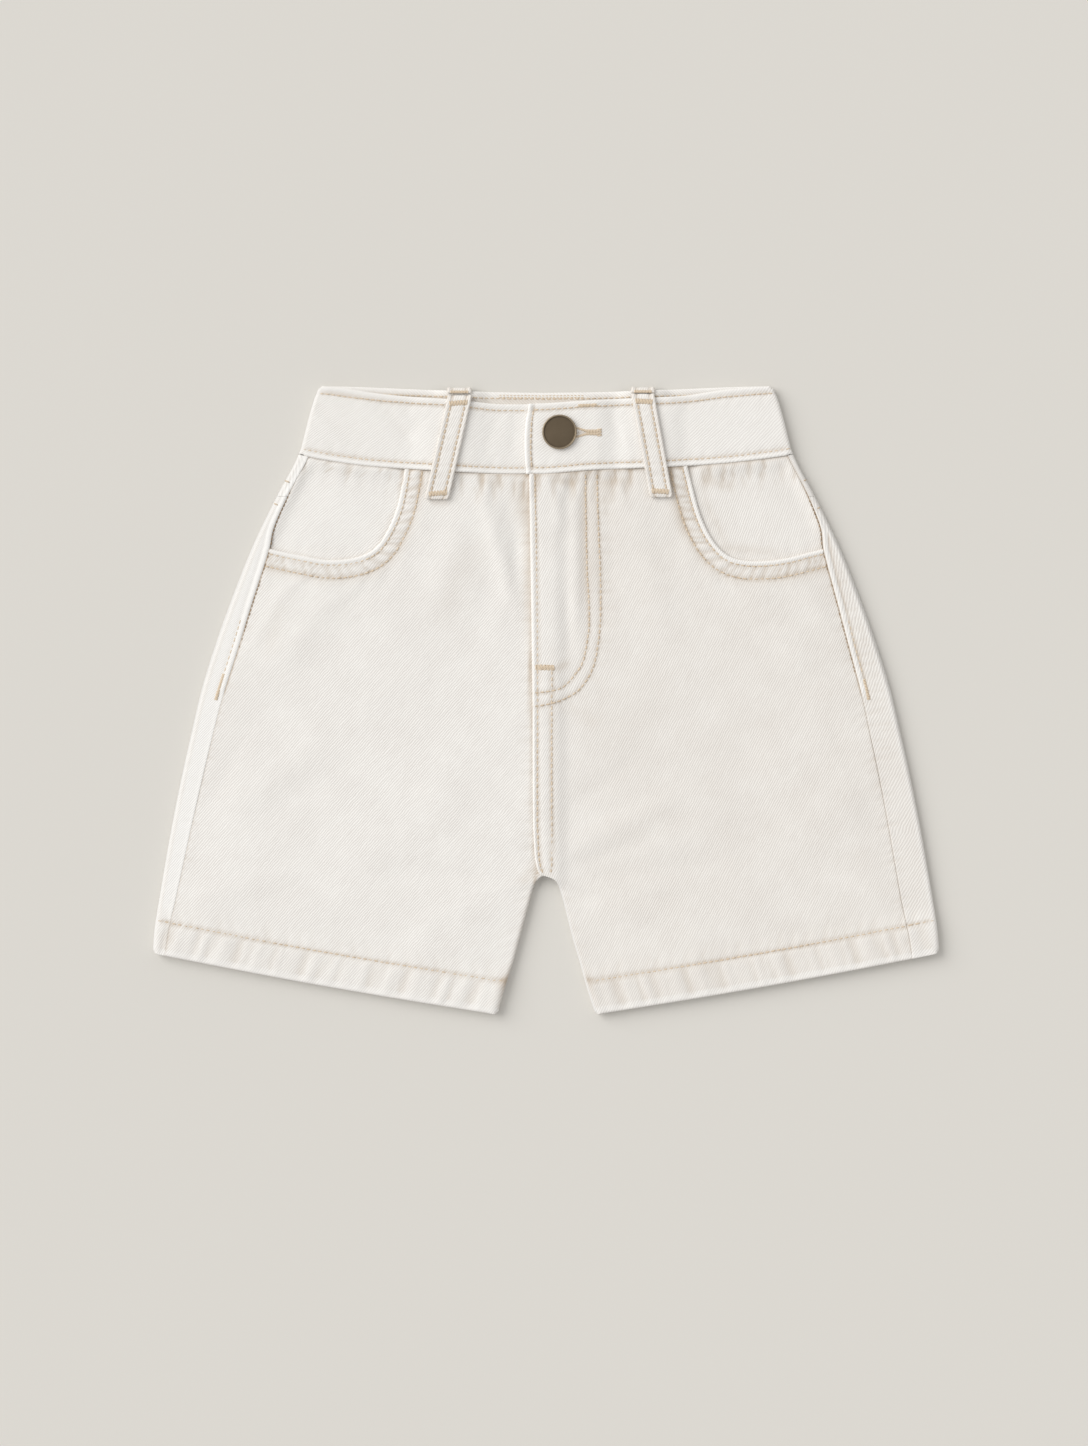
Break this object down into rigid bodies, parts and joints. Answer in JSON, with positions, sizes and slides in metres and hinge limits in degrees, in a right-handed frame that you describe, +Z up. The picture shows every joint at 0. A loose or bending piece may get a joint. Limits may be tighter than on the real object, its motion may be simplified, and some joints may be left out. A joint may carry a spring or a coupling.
{
  "type": "child's high-waisted denim shorts laid flat",
  "caption": "Cream denim shorts for a child, buttoned and laid flat front up, with waistband, belt loops, scooped front pockets, lapped fly front and turned-up hems.",
  "frame": {"origin": "centre of the bounding box on the floor, under the middle of the front", "axes": "+X to the right of the picture, across the legs; +Y from the hems to the waistband; +Z up off the floor"},
  "size_m": [0.432, 0.3451, 0.0097],
  "materials": {
    "denim": "heavy undyed cotton twill, matt, with a fine diagonal wale",
    "thread": "tan topstitching thread",
    "button_metal": "antiqued bronze-brown metal with a lighter worn rim"
  },
  "bodies": {
    "root": {"front_left": "denim", "front_right": "denim", "pocket_facing_left": "denim", "pocket_facing_right": "denim", "back_left": "denim", "back_right": "denim", "back_yoke_left": "denim", "back_yoke_right": "denim", "waistband": "denim", "belt_loop_front_left": "denim", "belt_loop_front_right": "denim", "belt_loop_back_left": "denim", "belt_loop_back_right": "denim", "button": "button_metal"}
  },
  "joints": []
}
